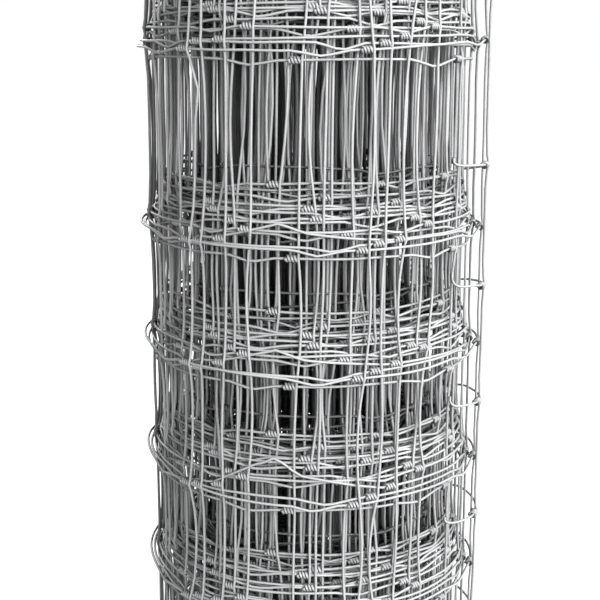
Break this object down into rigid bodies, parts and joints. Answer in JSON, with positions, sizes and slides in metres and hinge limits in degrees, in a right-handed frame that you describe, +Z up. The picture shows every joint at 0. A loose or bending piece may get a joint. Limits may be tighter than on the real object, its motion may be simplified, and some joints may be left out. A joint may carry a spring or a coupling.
{
  "type": "roll of wire fencing",
  "caption": "Roll of galvanised woven wire stock fence standing on end, its inner turns slid up past the outer ones, open at the bore, with a sprung free end of hooked line wires.",
  "frame": {"origin": "centre of the bore, on the floor that the roll stands on", "axes": "+Z up along the bore; the picture looks along +Y, with +X to the right, where the free end is"},
  "size_m": [0.2917, 0.285, 0.8695],
  "materials": {
    "zinc_wire": "galvanised, dull bright"
  },
  "bodies": {
    "root": {"fence_roll": "zinc_wire"}
  },
  "joints": []
}
